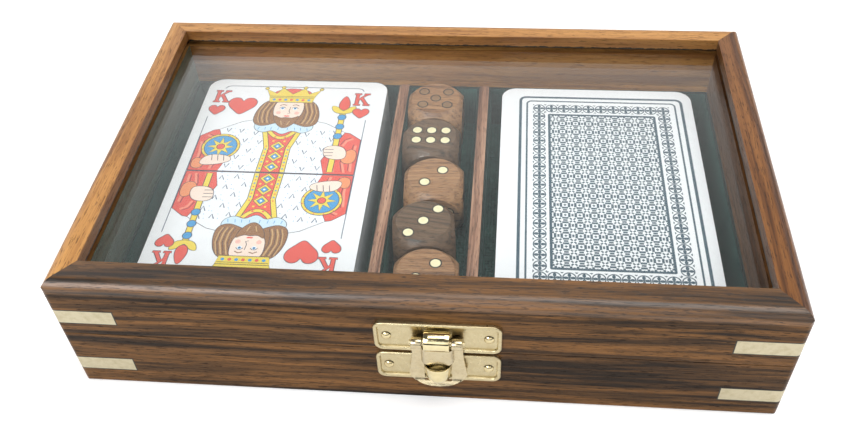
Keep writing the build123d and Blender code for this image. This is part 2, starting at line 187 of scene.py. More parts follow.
def make_wood_grain():
    """Hardwood figure: wavy bands, fine streaks and open pores along X."""
    group, w, given, result = new_group(
        "wood_grain", ("Dark", "Middle", "Light"), ("Band Width", "Dark Share", "Streaks", "Wave"))
    place, dark, middle, light, band, dark_share, streaks, wave = given
    drift = w.noise(w.vector("MULTIPLY", place, DRIFT_SCALE), 1.0, 2.0, 0.5, "Color")
    drift = w.vector("MULTIPLY", w.vector("SUBTRACT", drift, (0.5, 0.5, 0.5)), w.join(0.0, wave, wave))
    place = w.vector("ADD", place, w.vector("MULTIPLY", drift, (2, 2, 2)))
    pitch = w.math("DIVIDE", 1.0, band)
    stretch = w.join(w.times(pitch, GRAIN_STRETCH), pitch, pitch)
    bands = w.noise(w.vector("MULTIPLY", place, stretch), 1.0, 4.0, 0.62)
    lines = w.noise(w.vector("MULTIPLY", place, STREAK_SCALE), 1.0, 4.0, 0.75)
    pores = w.noise(w.vector("MULTIPLY", place, PORE_SCALE), 1.0, 2.0, 0.6)
    dark_part = w.window(bands, w.minus(dark_share, 0.07), w.plus(dark_share, 0.08))
    light_part = w.window(bands, w.plus(dark_share, 0.05), w.plus(dark_share, 0.25))
    colour = w.mix(light_part, w.mix(dark_part, dark, middle), light)
    fine = w.times(w.window(lines, 0.5, 0.66), streaks)
    open_pores = w.window(pores, 0.57, 0.63)
    colour = w.mix(fine, colour, dark)
    colour = w.mix(w.times(open_pores, PORE_DEPTH), colour, w.mix(0.65, dark, NEAR_BLACK))
    w.feed(result["Color"], colour)
    w.feed(result["Roughness"], w.plus(w.times(open_pores, 0.25), w.window(lines, 0.3, 0.7, 0.3, 0.42)))
    w.feed(result["Height"], w.minus(w.times(bands, 0.2), w.plus(open_pores, w.times(fine, 0.25))))
    return group


SCRATCH_SCALE = (0.5, 6.0, 6.0)


def make_brass_finish():
    """Brass with faint tarnish, small dents and fine scratches."""
    group, w, given, result = new_group("brass_finish", ("Bright", "Tarnish"), ("Tarnish Share", "Polish"))
    place, bright, tarnish, tarnish_share, polish = given
    cloud = w.noise(place, 0.55, 4.0, 0.6)
    speck = w.noise(place, 3.2, 2.0, 0.5)
    scratch = w.noise(w.vector("MULTIPLY", place, SCRATCH_SCALE))
    stain = w.times(w.window(cloud, 0.42, 0.7), tarnish_share)
    stain = w.plus(stain, w.window(speck, 0.66, 0.76, 0.0, 0.3), clamp=True)
    w.feed(result["Color"], w.mix(stain, bright, tarnish))
    rough = w.plus(polish, w.window(scratch, 0.55, 0.72, 0.0, 0.16))
    w.feed(result["Roughness"], w.plus(rough, w.times(stain, 0.25)))
    w.feed(result["Height"], w.plus(w.times(cloud, 0.6), w.times(scratch, 0.2)))
    return group


WARP_PITCH, WEFT_PITCH, WEAVE_SHARE = 6.6, 6.1, 0.11


def make_felt_nap():
    """Short woollen nap: fine fibres in a faint weave."""
    group, w, (place, deep, pale), result = new_group("felt_nap", ("Deep", "Pale"), (), ("Color", "Height"))
    fibres = w.noise(place, 1.7, 3.0, 0.7)
    cross = w.noise(w.vector("MULTIPLY", place, (2.4, 0.7, 2.4)), 1.0, 2.0, 0.6)
    patches = w.noise(place, 0.06)
    x, y, _ = w.split(place)
    warp, weft = (w.math("SINE", w.times(axis, turns)) for axis, turns in ((x, WARP_PITCH), (y, WEFT_PITCH)))
    share = w.plus(w.window(fibres, 0.36, 0.66, 0.0, 0.6), w.window(cross, 0.36, 0.64, 0.0, 0.25))
    share = w.plus(share, w.times(w.plus(warp, weft), WEAVE_SHARE))
    share = w.plus(share, w.window(patches, 0.3, 0.7, -0.15, 0.25), clamp=True)
    w.feed(result["Color"], w.mix(share, deep, pale))
    w.feed(result["Height"], w.plus(fibres, w.times(cross, 0.5)))
    return group


def make_paper_grain():
    """Coated card: a faint linen emboss and slight mottling."""
    group, w, (place, colour, speckle), result = new_group("paper_grain", ("Color",), ("Fibre",))
    mottle = w.noise(place, 0.35, 3.0, 0.6)
    fibre = w.noise(place, 5.0, 2.0, 0.6)
    shade = w.minus(1.0, w.times(w.window(fibre, 0.35, 0.75), speckle))
    shade = w.minus(shade, w.window(mottle, 0.35, 0.7, 0.0, 0.04))
    w.feed(result["Color"], w.mix(1.0, colour, w.join(shade, shade, shade), "MULTIPLY"))
    w.feed(result["Roughness"], w.window(mottle, 0.3, 0.7, 0.3, 0.42))
    w.feed(result["Height"], fibre)
    return group


wood_grain = make_wood_grain()
brass_finish = make_brass_finish()
felt_nap = make_felt_nap()
paper_grain = make_paper_grain()


# ---- wood ----
ALONG_X, ALONG_Y = 0.0, pi / 2
DARK_FRONT = (paint(36, 24, 13), paint(94, 64, 34), paint(132, 90, 48))
GOLDEN = (paint(132, 84, 40), paint(180, 126, 66), paint(200, 146, 82))
RED_BROWN = (paint(74, 42, 18), paint(119, 74, 35), paint(143, 94, 48))
PINKISH = (paint(96, 62, 46), paint(165, 122, 98), paint(196, 156, 130))
DICE_LIGHT = (paint(84, 54, 34), paint(146, 104, 70), paint(172, 130, 92))
DICE_DARK = (paint(40, 28, 20), paint(84, 62, 44), paint(112, 86, 64))

# the lid's rails in millimetres: inner faces, the pane's groove, the split over it and the rounded edge
INNER_HALF_X, INNER_FRONT, INNER_BACK = 82.0, -48.0, 49.0
GROOVE_MIDDLE, GROOVE_HALF, GROOVE_DEPTH = 33.6, 1.4, 3.2
# the split's limits bound the ragged painted shadow line over the groove
SPLIT_FOOT, SPLIT_LOW, SPLIT_HIGH = 34.3, 35.05, 35.6
LINED_TOP, WORN_TOP, EDGE_LOW, FACE_TOP = 32.0, 35.2, 36.4, 38.1
SHINE, EDGE_SHINE = 0.35, 0.5
FELT_DEEP, FELT_PALE = paint(4, 40, 38), paint(64, 112, 104)


def paint_shade_inside(w, place, colour, dark, share):
    """Paints shade on a rail's inner face, and a black painted shadow in its groove and along the ragged
    split over that.
    """
    x, y, z = w.split(place)
    away = w.most(w.minus(w.math("ABSOLUTE", x), INNER_HALF_X),
                  w.minus(y, INNER_BACK), w.minus(INNER_FRONT, y))
    # painted shade on the inner face, as strong as the share
    face = w.times(w.window(away, 0.05, 0.3, 1.0, 0.0),
                   w.window(z, FACE_TOP, FACE_TOP + 0.4, 1.0, 0.0), share)
    colour = w.mix(face, colour, w.mix(0.55, dark, (0.01, 0.008, 0.006, 1)))
    # painted shadow in the pane's groove
    groove = w.times(w.window(w.apart(z, GROOVE_MIDDLE), GROOVE_HALF, GROOVE_HALF + 0.3, 1.0, 0.0),
                     w.window(away, 0.02, 0.12), w.window(away, GROOVE_DEPTH, GROOVE_DEPTH + 0.1, 1.0, 0.0))
    # a ragged painted shadow line along the split over the groove
    ragged = w.window(w.noise(place, 0.45, 3.0, 0.7), 0.3, 0.7, SPLIT_LOW, SPLIT_HIGH)
    split = w.times(w.window(w.minus(z, ragged), 0.0, 0.15, 1.0, 0.0),
                    w.window(z, SPLIT_FOOT, SPLIT_FOOT + 0.3), w.window(away, 0.0, 0.2, 1.0, 0.0))
    return w.mix(w.most(groove, split), colour, paint(12, 8, 6))


def cover_with_felt(w, place, colour, share):
    """Lays felt on the left inner face, up to the pane."""
    x, _, z = w.split(place)
    covered = w.times(w.window(x, -INNER_HALF_X - 0.25, -INNER_HALF_X - 0.1),
                      w.window(z, LINED_TOP, LINED_TOP + 0.1, share, 0.0))
    nap = use_group(w, felt_nap, w.vector("ADD", place, (3, 5, 7)), FELT_DEEP, FELT_PALE)
    return w.mix(covered, colour, nap["Color"])


def make_wood(name, cut, coat=0.22, inner=0.0, lined=0.0, worn=0.0):
    """Oiled hardwood with its own cut of the shared grain.

    A rail gets painted shade inside and a painted shadow in its groove. A lined board has felt glued to its
    inner face. A worn one keeps its shine on the rounded edge alone.
    """
    turn, shift, tones, *figure = cut
    material, w, shader, place = new_material(
        name, Coat_Weight=coat, Coat_Roughness=0.3, Specular_IOR_Level=SHINE)
    sawing = {"Vector": place, "Location": shift, "Rotation": (0, 0, turn)}
    sawn = w.add("ShaderNodeMapping", sawing).outputs[0]
    grain = use_group(w, wood_grain, sawn, *tones, *figure)
    colour = grain["Color"]
    # the inner share paints shade on a rail's inner face and a painted shadow in its groove
    if inner:
        colour = paint_shade_inside(w, place, colour, tones[0], inner)
    if lined:
        colour = cover_with_felt(w, place, colour, lined)
    if worn:
        height = w.split(place)[2]
        for socket, level in (("Specular IOR Level", SHINE), ("Coat Weight", coat)):
            w.feed(shader[socket], w.window(height, WORN_TOP, EDGE_LOW, level * (1 - worn), EDGE_SHINE))
    cover(w, shader, grain, colour, 0.35, 0.08 * MM)
    return material


# each cut: turn of the grain, its shift, tones, band width, share of dark bands, streaks and wave
BASE_FRONT = (ALONG_X, (13, 40, 7), DARK_FRONT, 2.4, 0.46, 0.6, 2.0)
LID_FRONT = (ALONG_X, (87, 71, 33), DARK_FRONT, 2.2, 0.44, 0.6, 2.0)
BACK = (ALONG_X, (0, 33, 180), GOLDEN, 3.0, 0.44, 0.5, 2.0)
LEFT = (ALONG_Y, (140, 90, 3), GOLDEN, 3.4, 0.42, 0.55, 2.0)
RIGHT = (ALONG_Y, (44, 260, 70), RED_BROWN, 2.4, 0.42, 0.5, 2.0)
# inner sets the painted shade on a rail's inner face and groove
WOODEN_PIECES = {
    "base_front_board": (BASE_FRONT, dict(coat=0.12, worn=0.7)),
    "base_back_board": (BACK, {}),
    "base_left_board": (LEFT, dict(lined=0.9)),
    "base_right_board": (RIGHT, {}),
    "lid_front_rail": (LID_FRONT, dict(inner=0.4, coat=0.2, worn=0.7)),
    "lid_back_rail": (BACK, dict(inner=0.35)),
    "lid_left_rail": (LEFT, dict(inner=0.65, lined=0.75)),
    "lid_right_rail": (RIGHT, dict(inner=0.4)),
    "divider_left": ((ALONG_Y, (200, 17, 60), PINKISH, 2.6, 0.47, 0.6, 2.0), {}),
    "divider_right": ((ALONG_Y, (20, 77, 160), PINKISH, 2.6, 0.47, 0.6, 2.0), {}),
    "bottom_panel": ((ALONG_X, (500, 210, 8), RED_BROWN, 6.0, 0.47, 0.6, 2.0), {}),
}
for piece_name, (cut, extras) in WOODEN_PIECES.items():
    dress(piece_name, make_wood(piece_name + "_rosewood", cut, **extras))


# ---- brass ----
def make_brass(name, bright, tarnish, tarnish_share, polish, metallic=1.0):
    """Brass of two tones; a low metallic share makes it read as paint or old inlay."""
    material, w, shader, place = new_material(name, Metallic=metallic)
    finish = use_group(w, brass_finish, place, bright, tarnish, tarnish_share, polish)
    cover(w, shader, finish, finish["Color"], 0.3, 0.06 * MM)
    return material


clasp_brass = make_brass("polished_clasp_brass", paint(203, 189, 151), paint(176, 152, 108), 0.3, 0.27)
hinge_brass = make_brass("worn_hinge_brass", paint(214, 184, 118), paint(140, 108, 62), 0.6, 0.28)
nail_brass = make_brass("nail_brass", paint(222, 206, 162), paint(160, 130, 80), 0.3, 0.1)
pip_brass = make_brass("pip_brass", paint(250, 240, 200), paint(206, 184, 130), 0.25, 0.32, metallic=0.35)
dull_pip_brass = make_brass("dull_pip_brass", paint(150, 118, 86), paint(112, 84, 60), 0.5, 0.4, metallic=0.3)
for piece_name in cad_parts:
    if piece_name.startswith("hinge_"):
        dress(piece_name, hinge_brass)
    elif piece_name.startswith("clasp_"):
        dress(piece_name, nail_brass if "nails" in piece_name else clasp_brass)
    elif piece_name.endswith("_pips"):
        dress(piece_name, dull_pip_brass if piece_name.startswith("die_1") else pip_brass)

HALF_LENGTH, HALF_DEPTH = 89.0, 56.0
# the width and fade of the painted shade line round each strap
STRAP_REACH, STRAP_HEIGHT, SEAM_SHADE_WIDTH, SEAM_SHADE_FADE = 15.7, 5.2, 0.34, 0.08
STRAP_BOTTOMS = {"base": 5.3, "lid": 24.2}
STRAP_METAL = 0.85


def make_strap_brass(name, bottom):
    """Matte brass inlay with a dark line of painted shade round it, along its seam."""
    material, w, shader, place = new_material(name, Specular_IOR_Level=0.6)
    finish = use_group(w, brass_finish, place, paint(203, 192, 162), paint(168, 155, 118), 0.4, 0.36)
    x, y, z = w.split(place)
    shade_from = STRAP_HEIGHT / 2 - SEAM_SHADE_WIDTH
    edge = w.window(w.apart(z, bottom + STRAP_HEIGHT / 2), shade_from, shade_from + SEAM_SHADE_FADE)
    sides = ((x, HALF_LENGTH), (y, HALF_DEPTH))
    for (axis, half), (other, other_half) in (sides, sides[::-1]):
        shade_to = half - STRAP_REACH + SEAM_SHADE_WIDTH
        end = w.window(w.math("ABSOLUTE", axis), shade_to - SEAM_SHADE_FADE, shade_to, 1.0, 0.0)
        on_face = w.window(w.math("ABSOLUTE", other), other_half - 0.5, other_half - 0.3)
        edge = w.most(edge, w.times(end, on_face))
    # the painted shade line: a dark colour, less metal and more roughness
    w.feed(shader["Base Color"], w.mix(edge, finish["Color"], paint(30, 26, 16)))
    w.feed(shader["Metallic"], w.minus(STRAP_METAL, w.times(edge, STRAP_METAL)))
    w.feed(shader["Roughness"], w.plus(finish["Roughness"], w.times(edge, 0.2)))
    w.feed(shader["Normal"], w.bump(finish["Height"], 0.25, 0.05 * MM))
    return material


for part, bottom in STRAP_BOTTOMS.items():
    strap_brass = make_strap_brass(part + "_strap_brass", bottom)
    for piece_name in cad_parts:
        if piece_name.startswith(part + "_strap_"):
            dress(piece_name, strap_brass)


# ---- felt ----
FELT_RIM_LOW, FELT_RIM_TOP = 17.8, 18.2


def make_felt(name, shift):
    """Dull green felt, nearly black on its cut top rim."""
    material, w, shader, place = new_material(
        name, Roughness=0.95, Specular_IOR_Level=0.12, Sheen_Weight=0.05, Sheen_Roughness=0.5,
        Sheen_Tint=paint(150, 190, 180))
    nap = use_group(w, felt_nap, w.vector("ADD", place, shift), FELT_DEEP, FELT_PALE)
    rim = w.window(w.split(place)[2], FELT_RIM_LOW, FELT_RIM_TOP, 0.0, 0.85)
    w.feed(shader["Base Color"], w.mix(rim, nap["Color"], paint(18, 24, 22)))
    w.feed(shader["Normal"], w.bump(nap["Height"], 0.6, 0.2 * MM))
    return material


for index, piece_name in enumerate(("felt_lining_left", "felt_lining_middle", "felt_lining_right")):
    dress(piece_name, make_felt(piece_name + "_green", (40 * index, 17 * index, 9)))


# ---- glass and wrappers ----
def make_clear(name, tint, ior, gloss, waviness, wave_size):
    """Clear glass or film. Light that shades the contents passes straight through."""
    material, w, shader, place = new_material(
        name, Roughness=0.0, Transmission_Weight=1.0, IOR=ior, Specular_IOR_Level=gloss, Base_Color=tint)
    rays = w.add("ShaderNodeLightPath").outputs
    passing = w.most(rays["Is Shadow Ray"], rays["Is Diffuse Ray"])
    w.feed(shader["Alpha"], w.minus(1.0, passing))
    ripple = w.noise(place, wave_size, 2.0, 0.5)
    smear = w.noise(place, 0.09, 3.0, 0.6)
    w.feed(shader["Roughness"], w.window(smear, 0.5, 0.8, 0.0, 0.04))
    w.feed(shader["Normal"], w.bump(ripple, waviness, 0.02 * MM))
    return material


dress("lid_glass", make_clear("lid_glass_clear", paint(250, 254, 252), 1.5, 0.3, 0.02, 0.05))
film = make_clear("deck_wrap_film", paint(255, 255, 255), 1.2, 0.4, 0.6, 0.25)
for piece_name in ("left_deck_wrap", "right_deck_wrap"):
    dress(piece_name, film)


# ---- cards ----
CARD_STEP = 0.3
LEFT_DECK, RIGHT_DECK = Vector((-47.6, 3.7)), Vector((47.0, 2.3))
CARD_TOP = 20.05
WHITE_CARD = paint(250, 251, 255)
TEAL_INK = paint(0, 64, 84)


def make_card_edges():
    """The edges of a stack of cards: painted shade in thin grey gaps between white cards."""
    material, w, shader, place = new_material("stacked_card_edges", Roughness=0.6)
    paper = use_group(w, paper_grain, place, WHITE_CARD, 0.06)
    wander = w.noise(w.vector("MULTIPLY", place, (0.03, 0.03, 1.2)), 1.0, 1.0, 0.5)
    layer = w.plus(w.math("DIVIDE", w.split(place)[2], CARD_STEP), w.times(wander, 0.8))
    gap = w.math("ABSOLUTE", w.minus(w.math("FRACT", layer), 0.5))
    uneven = w.noise(w.vector("MULTIPLY", place, (0.02, 0.02, 2.3)), 1.0, 1.0, 0.5)
    # painted shade along the gaps between the cards
    shade = w.times(w.window(gap, 0.32, 0.46), w.window(uneven, 0.35, 0.65, 0.25, 0.8))
    w.feed(shader["Base Color"], w.mix(shade, paper["Color"], paint(150, 156, 170)))
    w.feed(shader["Normal"], w.bump(shade, -0.4, 0.05 * MM))
    return material


def make_card_face(name, colour):
    """Smooth coated paper of one colour."""
    material, w, shader, place = new_material(name, Coat_Weight=0.15, Coat_Roughness=0.2)
    paper = use_group(w, paper_grain, place, colour, 0.05)
    cover(w, shader, paper, paper["Color"], 0.1, 0.02 * MM)
    return material


# the card's back in millimetres; each frame: half width, half length, corner radius and width of its line
BACK_SHIFT = 1.3
OUTER_FRAME = (24.5, 39.7, 1.8, 0.86)
SECOND_FRAME = (22.5, 37.8, 1.4, 0.54)
FIELD_FRAME = (15.8, 31.3, 0.2, 0.74)
BAND_PITCH, BAND_CORNER, BAND_INNER, BAND_OUTER = (3.76, 3.811), (1.88, 1.9), (16.95, 32.4), (20.7, 36.2)
FIELD_PITCH, FIELD_CORNER = (3.95, 3.9), (1.975, 1.95)


def make_lattice_back():
    """A plain geometric card back: double frame, a band of rosettes and a lattice."""
    material, w, shader, place = new_material("lattice_card_back", Coat_Weight=0.15, Coat_Roughness=0.2)
    place = w.vector("ADD", place, (-RIGHT_DECK.x - BACK_SHIFT, -RIGHT_DECK.y, 0))
    x, y, z = w.split(place)
    across, along = w.math("ABSOLUTE", x), w.math("ABSOLUTE", y)

    def under(value, limit):
        """One where a length is under a limit, with a slightly soft edge."""
        return w.window(value, limit - 0.06, limit + 0.06, 1.0, 0.0)

    def near(value, middle, half):
        return under(w.apart(value, middle), half)

    def long_side(first, second):
        """The length of the slanted side over two upright ones."""
        return w.math("SQRT", w.plus(w.times(first, first), w.times(second, second)))

    def frame_line(half_width, half_length, corner, width):
        """A line round a rectangle with rounded corners, and the room inside it."""
        over_x, over_y = w.minus(across, half_width - corner), w.minus(along, half_length - corner)
        gap = w.plus(long_side(w.most(over_x, 0.0), w.most(over_y, 0.0)),
                     w.math("MINIMUM", w.most(over_x, over_y), 0.0))
        gap = w.minus(gap, corner)
        return under(w.math("ABSOLUTE", gap), width / 2), w.math("LESS_THAN", gap, 0.0)

    def cell(pitches):
        """Distances from the nearest cell's middle, across and along."""
        shares = [w.math("DIVIDE", value, pitch) for value, pitch in zip((x, y), pitches)]
        return [w.math("ABSOLUTE", w.times(w.minus(share, w.math("ROUND", share)), pitch))
                for share, pitch in zip(shares, pitches)]

    # the band: four petals round a small diamond, in a ring, with a diamond between the rings
    u, v = cell(BAND_PITCH)
    length, width = w.minus(w.most(u, v), 0.9), w.math("MINIMUM", u, v)
    petal = w.math("SQRT", w.plus(w.times(length, length), w.times(width, width, 2.2)))
    between = w.plus(w.apart(u, BAND_CORNER[0]), w.apart(v, BAND_CORNER[1]))
    rosette = w.most(under(petal, 0.68), under(w.plus(u, v), 0.46), near(long_side(u, v), 1.68, 0.17),
                     under(between, 0.5))
    past = w.most(w.minus(across, BAND_INNER[0]), w.minus(along, BAND_INNER[1]))
    before = w.most(w.minus(across, BAND_OUTER[0]), w.minus(along, BAND_OUTER[1]))
    in_band = w.times(w.math("GREATER_THAN", past, 0.0), w.math("LESS_THAN", before, 0.0))

    # the field: a dot in four short bars, dashes between the cells and four petals where they meet
    u, v = cell(FIELD_PITCH)
    bars = w.times(near(w.most(u, v), 1.1, 0.34), under(w.math("MINIMUM", u, v), 0.84))
    dash_x = w.times(near(u, FIELD_CORNER[0], 0.3), under(v, 0.5))
    dash_y = w.times(near(v, FIELD_CORNER[1], 0.3), under(u, 0.6))
    from_x, from_y = w.minus(FIELD_CORNER[0], u), w.minus(FIELD_CORNER[1], v)
    petals = w.times(near(from_x, from_y, 0.36), near(w.plus(from_x, from_y), 1.0, 0.55))
    field = w.most(bars, under(w.plus(u, v), 0.46), dash_x, dash_y, petals)

    outer_line, second_line = frame_line(*OUTER_FRAME)[0], frame_line(*SECOND_FRAME)[0]
    field_line, in_field = frame_line(*FIELD_FRAME)
    ink = w.most(w.times(rosette, in_band), w.times(field, in_field), outer_line, second_line, field_line)
    on_top = w.window(z, CARD_TOP - 0.03, CARD_TOP - 0.01)
    worn = w.window(w.noise(place, 2.4, 2.0, 0.6), 0.3, 0.75, 1.0, 0.82)
    paper = use_group(w, paper_grain, place, WHITE_CARD, 0.05)
    cover(w, shader, paper, w.mix(w.times(ink, on_top, worn), paper["Color"], TEAL_INK), 0.1, 0.02 * MM)
    return material


card_edges = make_card_edges()
card_face = make_card_face("court_card_face", WHITE_CARD)
for piece_name in ("left_deck_cards", "right_deck_cards"):
    dress(piece_name, card_edges)
dress("left_deck_top_card", card_face)
dress("right_deck_top_card", make_lattice_back())


# ---- the court card's print ----
INKS = {
    "line": paint(62, 54, 70), "red": paint(230, 92, 82), "coral": paint(242, 150, 128),
    "cuff": paint(240, 150, 104), "blue": paint(74, 156, 212), "navy": paint(60, 74, 104),
    "pale": paint(206, 228, 244), "yellow": paint(238, 212, 84), "brown": paint(150, 106, 70),
    "tan": paint(204, 166, 118), "skin": paint(250, 226, 212), "rose": paint(244, 190, 176),
    "white": paint(242, 245, 252), "frame": paint(96, 106, 128),
}
INK_LIFT, INK_STEP, OUTLINE, PRINT_SHIFT = 0.008, 0.0004, 0.2, -0.95
ink_materials = {name: make_card_face("card_ink_" + name, colour) for name, colour in INKS.items()}


def stroke(points, width):
    """The outline of an even line through some points."""
    left, right = [], []
    for index, (u, v) in enumerate(points):
        before, after = points[max(index - 1, 0)], points[min(index + 1, len(points) - 1)]
        du, dv = after[0] - before[0], after[1] - before[1]
        half = width / 2 / hypot(du, dv)
        left.append((u - dv * half, v + du * half))
        right.append((u + dv * half, v - du * half))
    return left + right[::-1]


def grown(points, margin):
    """A closed outline moved outwards by a margin."""
    count = len(points)
    pairs = [(points[i], points[(i + 1) % count]) for i in range(count)]
    area = sum(a[0] * b[1] - b[0] * a[1] for a, b in pairs)
    side = margin if area > 0 else -margin
    result = []
    for i in range(count):
        (u0, v0), (u1, v1) = points[i - 1], points[(i + 1) % count]
        du, dv = u1 - u0, v1 - v0
        length = hypot(du, dv) or 1.0
        result.append((points[i][0] + dv / length * side, points[i][1] - du / length * side))
    return result


def around(u, v, radius, count=8, turn=0.0, other=None):
    """Points round a centre; a second radius makes a star."""
    points = []
    for step in range(count):
        angle = turn + 2 * pi * step / count
        reach = radius if other is None or step % 2 == 0 else other
        points.append((u + reach * cos(angle), v + reach * sin(angle)))
    return points


def both_sides(left):
    """A shape from its left half: the points, then their mirror images in turn."""
    return left + [(-u, v) for u, v in reversed(left) if u]


def mirrored(points):
    return [(-u, v) for u, v in points]


def heart(u, v, size):
    outline = both_sides([(0, -0.62), (-0.3, -0.3), (-0.62, 0.02), (-0.66, 0.4), (-0.4, 0.62),
                          (-0.12, 0.56), (0, 0.3)])
    return [(u + a * size, v + b * size) for a, b in outline]


def letter_k(u, v, size):
    """An upright K with plain serifs, as on any court card."""
    outline = [(-0.5, 0.5), (-0.5, 0.41), (-0.4, 0.41), (-0.4, -0.41), (-0.5, -0.41), (-0.5, -0.5),
               (-0.08, -0.5), (-0.08, -0.41), (-0.2, -0.41), (-0.2, -0.12), (-0.08, 0.02), (0.2, -0.41),
               (0.1, -0.41), (0.1, -0.5), (0.52, -0.5), (0.52, -0.41), (0.42, -0.41), (0.04, 0.16),
               (0.34, 0.41), (0.46, 0.41), (0.46, 0.5), (0.1, 0.5), (0.1, 0.41), (0.18, 0.41),
               (-0.2, 0.06), (-0.2, 0.41), (-0.08, 0.41), (-0.08, 0.5)]
    return [(u + a * size * 0.86, v + b * size) for a, b in outline]


def court_shapes():
    """(ink, smooth, outlined, outline) of each inked shape of the upper half, lowest first."""
    shapes = []

    def lay(ink, points, smooth=True, outlined=True):
        shapes.append((ink, smooth, outlined, points))

    def lay_pair(ink, points, smooth=True, outlined=True):
        lay(ink, points, smooth, outlined)
        lay(ink, mirrored(points), smooth, outlined)

    def lay_line(points, width=0.22, ink="line"):
        lay(ink, stroke(points, width), False, False)

    def dot(ink, u, v, radius, count=6):
        lay(ink, around(u, v, radius, count), True, False)

    # red sleeves with folds
    lay_pair("red", [(-24.6, 0.3), (-24.6, 15.6), (-21, 18.4), (-12, 20.4), (-12, 0.3)], False)
    for points in ([(-23.4, 1.5), (-23.0, 7), (-23.6, 13)], [(-21.6, 1), (-20.6, 5), (-21.4, 9)],
                   [(-19.6, 12.6), (-20.6, 15), (-22.4, 16)], [(-18.4, 1), (-17.8, 3.4), (-18.2, 5)]):
        lay_line(points, 0.7, "coral")
        lay_line(mirrored(points), 0.7, "coral")
        lay_line([(u + 0.7, v + 0.4) for u, v in points], 0.18)
        lay_line(mirrored([(u + 0.7, v + 0.4) for u, v in points]), 0.18)
    # white fur robe with dark tufts and specks
    lay_pair("white", [(-15.6, 0.3), (-14, 6), (-16.4, 12), (-19.4, 18.8), (-13, 22.8), (-5, 25), (-2.6, 12),
                       (-3, 0.3)], False)
    for u, v in ((-13.6, 2.4), (-9.2, 1.8), (-6.4, 5), (-11.6, 6.2), (-8.6, 9.2), (-13.6, 10.6), (-6, 13.2),
                 (-10.6, 13.8), (-15.8, 15.2), (-8, 17.2), (-12.6, 18.2), (-16.6, 18.4)):
        tuft = stroke([(u - 0.6, v + 0.9), (u, v - 0.7), (u + 0.8, v + 1.1)], 0.3)
        lay_pair("navy", tuft, False, False)
        for du, dv in ((1.6, -0.8), (1.9, 0.9), (-0.4, -1.9)):
            lay_pair("blue", around(u + du, v + dv, 0.17, 4), False, False)
    # red tunic, gold borders, and a column of lozenges
    lay("red", both_sides([(-3, 0.3), (-2.8, 12), (-5.2, 22), (0, 23)]), False)
    lay_pair("yellow", stroke([(-3.5, 0.4), (-3.3, 11), (-5.9, 21)], 1.3), False)
    for v in (1.8, 4.6, 7.4, 10.2):
        lay_pair("blue", around(-3.4, v, 0.36, 6), True, False)
        lay_pair("red", around(-3.4, v + 1.4, 0.32, 4), False, False)
    for v in (2.5, 7.1, 11.7):
        lay("yellow", around(0, v, 2.15, 4, pi / 2), False)
        lay("blue", around(0, v, 1.15, 4, pi / 2), False)
        dot("white", 0, v, 0.4)
        for side in (-1, 1):
            dot("yellow", 1.7 * side, v + 2.3, 0.42)
    lay("yellow", stroke(both_sides([(-5.4, 20.6), (-2.6, 16.6), (0, 15.2)]), 1.2))
    for u, v in ((-4, 18.6), (-1.5, 15.9), (1.5, 15.9), (4, 18.6)):
        dot("red", u, v, 0.4)
    # pale collar
    lay("pale", both_sides([(0, 25.8), (-4, 25.4), (-8.6, 23.4), (-9.4, 19.8), (-6, 17.6), (-3, 19.4),
                            (0, 16.8)]))
    for u in (-7.4, -5.4, -3.6, -1.4, 1.4, 3.6, 5.4, 7.4):
        lay_line([(u, 20.4), (u * 1.04, 19.2)], 0.2, "blue")
    # hair, face and beard
    lay("brown", both_sides([(0, 35.6), (-5.8, 34), (-8.6, 32), (-10.2, 27), (-10, 22.2), (-7, 20.8),
                             (-4, 22), (0, 24)]))
    for side in (-1, 1):
        for shift, ink, width in ((5.6, "line", 0.16), (6.3, "tan", 0.4), (7.1, "line", 0.16),
                                  (7.8, "tan", 0.4), (8.6, "line", 0.16), (9.1, "tan", 0.3)):
            lay_line([(side * (shift - 1.3), 32.4), (side * shift, 28), (side * (shift - 0.2), 24.6),
                      (side * (shift - 0.9), 22.4)], width, ink)
    lay("skin", both_sides([(0, 34.4), (-4.2, 33.4), (-4.8, 29.6), (-4.2, 25.6), (0, 21.8)]))
    lay("brown", both_sides([(0, 25.3), (-2, 24.7), (-4.1, 26.6), (-3.4, 23), (0, 19.4)]))
    lay_line([(-1.4, 23.6), (-0.8, 21.6)], 0.3, "tan")
    lay_line([(1.4, 23.6), (0.8, 21.6)], 0.3, "tan")
    for side in (-1, 1):
        lay_line([(side * 3.1, 31), (side * 2, 31.6), (side * 0.9, 31.2)], 0.34, "brown")
        for ink, radius, count in (("white", 0.78, 8), ("blue", 0.46, 8), ("line", 0.22, 6)):
            dot(ink, side * 2, 29.7, radius, count)
        lay_line([(side * 3, 29.7), (side * 2.4, 30.3), (side * 1.6, 30.3), (side * 1, 29.8)], 0.2)
        dot("rose", side * 2.9, 27.5, 0.8, 8)
    lay_line([(0.5, 30.4), (0.3, 28.4), (0.8, 27.4), (0, 27.1)], 0.2)
    lay("red", both_sides([(0, 25.5), (-1.2, 25.9), (-0.4, 26.3), (0, 26.15)]), True, False)
    # crown
    lay("red", both_sides([(-6.4, 35), (-6, 38.4), (0, 40)]))
    lay("yellow", both_sides([(-6.9, 35), (-8.8, 39.2), (-5.2, 37), (-3.6, 40), (0, 36.8)]), False)
    lay("yellow", both_sides([(-6.8, 32.8), (-7.4, 35.6)]), False)
    lay_line([(-7, 35), (7, 35)], 0.16)
    for step in range(-3, 4):
        across = (0, 1.85, 3.7, 5.6)[abs(step)] * (1 if step > 0 else -1)
        dot("red" if step % 2 == 0 else "blue", across, 34, 0.6)
    for u, v in ((-8.9, 39.6), (-3.6, 40.3), (3.6, 40.3), (8.9, 39.6)):
        lay("yellow", around(u, v, 0.62, 6))
